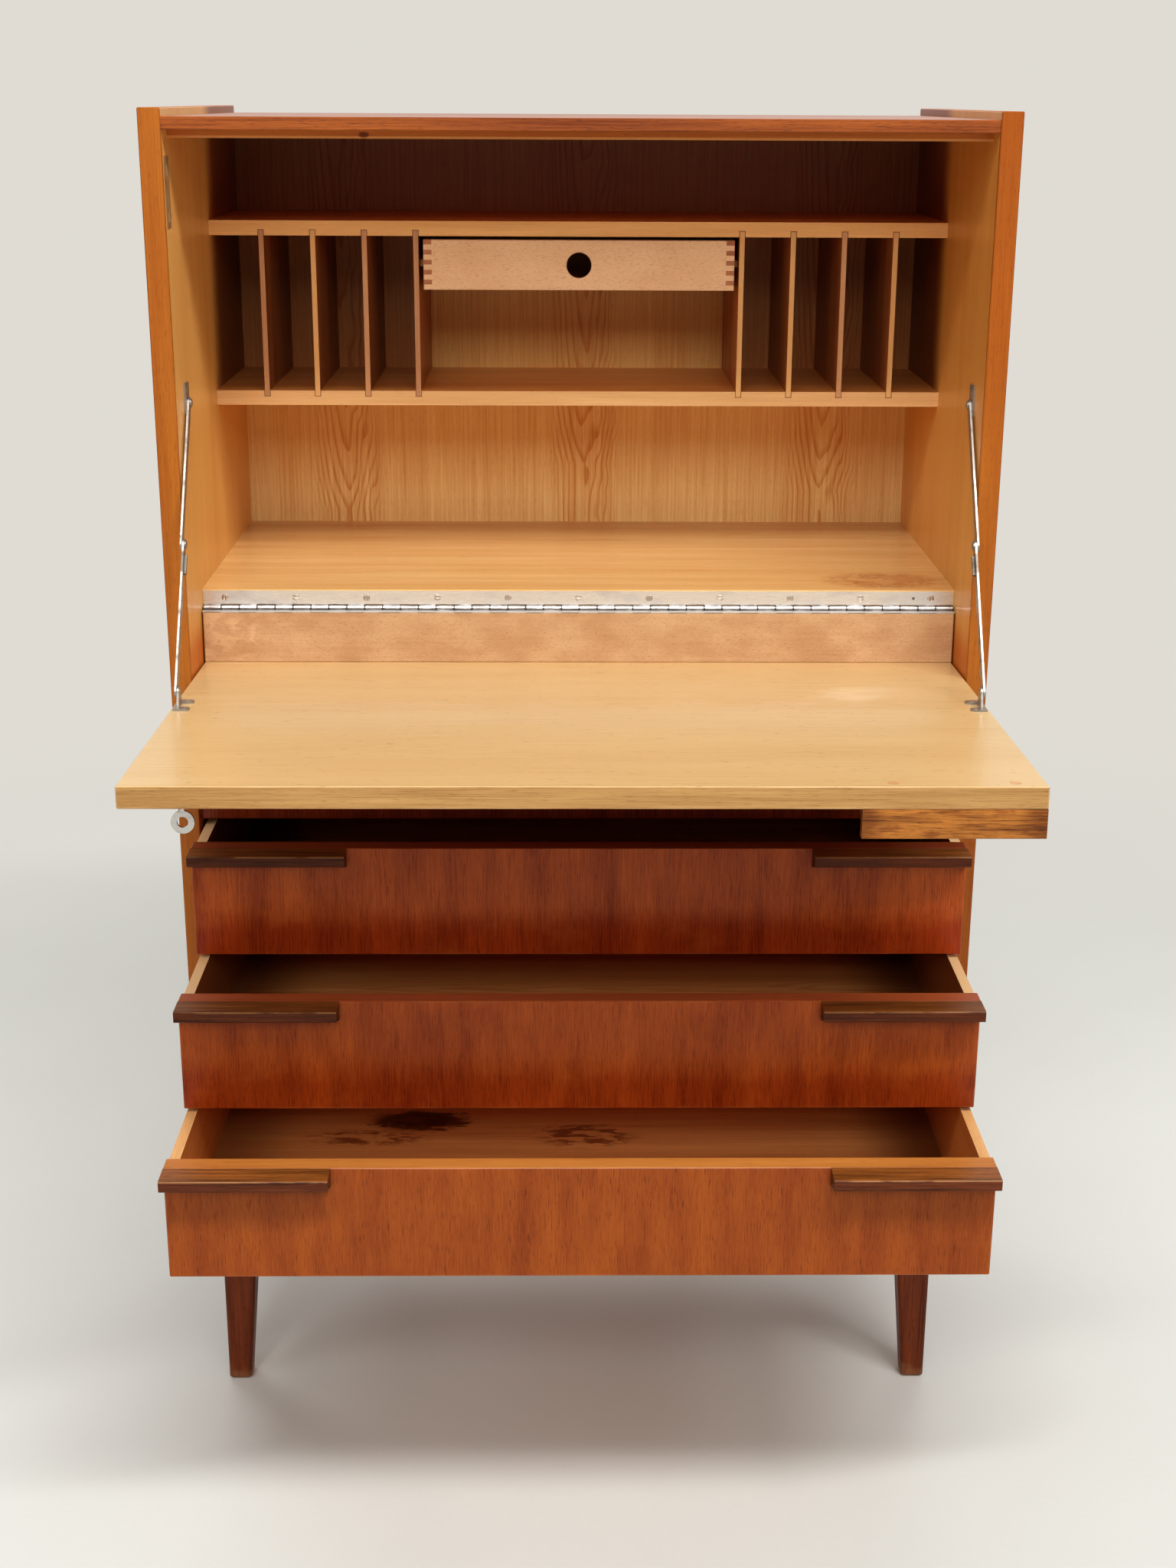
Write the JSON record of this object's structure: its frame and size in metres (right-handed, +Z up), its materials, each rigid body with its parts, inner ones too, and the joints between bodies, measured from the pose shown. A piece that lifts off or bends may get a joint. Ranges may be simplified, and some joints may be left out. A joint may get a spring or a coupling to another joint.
{
  "type": "fall-front writing desk",
  "caption": "Fall-front desk cabinet on tapered legs with a hinged writing flap on folding stays, letter pigeonholes, a small finger-hole drawer and wide lip-handled drawers.",
  "frame": {"origin": "on the floor, under the middle of the box round the desk with its flap down and its drawers drawn out as in use", "axes": "+X to the right of a person facing the desk, +Y from its front to its back, +Z up"},
  "size_m": [0.75, 0.7743, 1.266],
  "materials": {
    "box_wood": "satin",
    "case_wood": "oiled red-brown veneer, lipped",
    "cleat_wood": "satin",
    "dark_wood": "oiled dark hardwood, worn at the feet",
    "desk_wood": "satin",
    "divider_wood": "satin",
    "drawer_floor_wood": "satin",
    "fall_wood": "clear-lacquered pale veneer",
    "front_wood": "lacquered red-brown veneer",
    "grip_wood": "oiled dark hardwood",
    "hinge_metal": "satin",
    "key_metal": "satin",
    "lining_wood": "satin",
    "lock_metal": "satin",
    "plug_wood": "satin",
    "rail_wood": "satin",
    "shelf_wood": "satin",
    "small_front_wood": "satin",
    "stay_metal": "satin"
  },
  "bodies": {
    "carcass": {"back_panel": "lining_wood", "bottom_board": "case_wood", "desk_floor": "desk_wood", "drawer_runners": "box_wood", "dust_panel": "box_wood", "front_apron": "rail_wood", "hinge_fixed_leaf": "hinge_metal", "hinge_pin": "hinge_metal", "left_side": "case_wood", "leg_front_left": "dark_wood", "leg_front_right": "dark_wood", "leg_rear_left": "dark_wood", "leg_rear_right": "dark_wood", "letter_dividers_left": "divider_wood", "letter_dividers_right": "divider_wood", "lock_keep": "lock_metal", "lower_shelf": "shelf_wood", "right_side": "case_wood", "small_drawer_runners": "box_wood", "stay_side_brackets": "stay_metal", "top_panel": "case_wood", "upper_shelf": "shelf_wood"},
    "fall": {"fall_panel": "fall_wood", "fall_cleat": "cleat_wood", "hinge_fall_leaf": "hinge_metal", "fall_handle": "grip_wood", "fall_handle_plugs": "plug_wood", "lock_case": "lock_metal", "stay_fall_brackets": "stay_metal"},
    "bolt": {"lock_bolt": "lock_metal"},
    "key": {"key": "key_metal"},
    "upper_link_left": {"stay_upper_link_left": "stay_metal"},
    "upper_link_right": {"stay_upper_link_right": "stay_metal"},
    "lower_link_left": {"stay_lower_link_left": "stay_metal"},
    "lower_link_right": {"stay_lower_link_right": "stay_metal"},
    "small_drawer": {"small_drawer_back": "box_wood", "small_drawer_bottom": "box_wood", "small_drawer_front": "small_front_wood", "small_drawer_sides": "box_wood"},
    "drawer_1": {"drawer_1_back": "box_wood", "drawer_1_bottom": "drawer_floor_wood", "drawer_1_front": "front_wood", "drawer_1_handles": "grip_wood", "drawer_1_sides": "box_wood"},
    "drawer_2": {"drawer_2_back": "box_wood", "drawer_2_bottom": "drawer_floor_wood", "drawer_2_front": "front_wood", "drawer_2_handles": "grip_wood", "drawer_2_sides": "box_wood"},
    "drawer_3": {"drawer_3_back": "box_wood", "drawer_3_bottom": "drawer_floor_wood", "drawer_3_front": "front_wood", "drawer_3_handles": "grip_wood", "drawer_3_sides": "box_wood"}
  },
  "joints": [
    {"name": "fall_hinge", "type": "hinge", "parent": "carcass", "child": "fall", "pos_m": [0, 0.04266, 0.816], "axis": [-1, 0, 0], "range_deg": [0, 88.1]},
    {"name": "stay_left_upper", "type": "hinge", "parent": "carcass", "child": "upper_link_left", "pos_m": [-0.353, 0.01446, 1.012], "axis": [-1, 0, 0], "range_deg": [-90.43, 0]},
    {"name": "stay_left_lower", "type": "hinge", "parent": "fall", "child": "lower_link_left", "pos_m": [-0.3509, -0.13908, 0.78461], "axis": [-1, 0, 0], "range_deg": [-6.02, 0]},
    {"name": "stay_right_upper", "type": "hinge", "parent": "carcass", "child": "upper_link_right", "pos_m": [0.353, 0.01446, 1.012], "axis": [-1, 0, 0], "range_deg": [-90.43, 0]},
    {"name": "stay_right_lower", "type": "hinge", "parent": "fall", "child": "lower_link_right", "pos_m": [0.3509, -0.13908, 0.78461], "axis": [-1, 0, 0], "range_deg": [-6.02, 0]},
    {"name": "drawer_1_slide", "type": "slide", "parent": "carcass", "child": "drawer_1", "axis": [0, -1, 0], "range_m": [-0.069, 0.231]},
    {"name": "drawer_2_slide", "type": "slide", "parent": "carcass", "child": "drawer_2", "axis": [0, -1, 0], "range_m": [-0.171, 0.129]},
    {"name": "drawer_3_slide", "type": "slide", "parent": "carcass", "child": "drawer_3", "axis": [0, -1, 0], "range_m": [-0.278, 0.022]},
    {"name": "small_drawer_slide", "type": "slide", "parent": "carcass", "child": "small_drawer", "axis": [0, -1, 0], "range_m": [0, 0.12]},
    {"name": "bolt_slide", "type": "slide", "parent": "fall", "child": "bolt", "axis": [-1, 0, 0], "range_m": [0, 0.01]},
    {"name": "key_turn", "type": "hinge", "parent": "fall", "child": "key", "pos_m": [-0.3097, -0.35889, 0.76078], "axis": [0, 0.0332, 0.9995], "range_deg": [0, 90.5]}
  ],
  "couplings": [
    {"joint": "stay_left_upper", "follows": "fall_hinge", "ratio": -1.015},
    {"joint": "stay_left_lower", "follows": "fall_hinge", "ratio": -0.057012},
    {"joint": "stay_right_upper", "follows": "fall_hinge", "ratio": -1.015},
    {"joint": "stay_right_lower", "follows": "fall_hinge", "ratio": -0.057012},
    {"joint": "key_turn", "follows": "bolt_slide", "rad_per_m": 157.08}
  ]
}
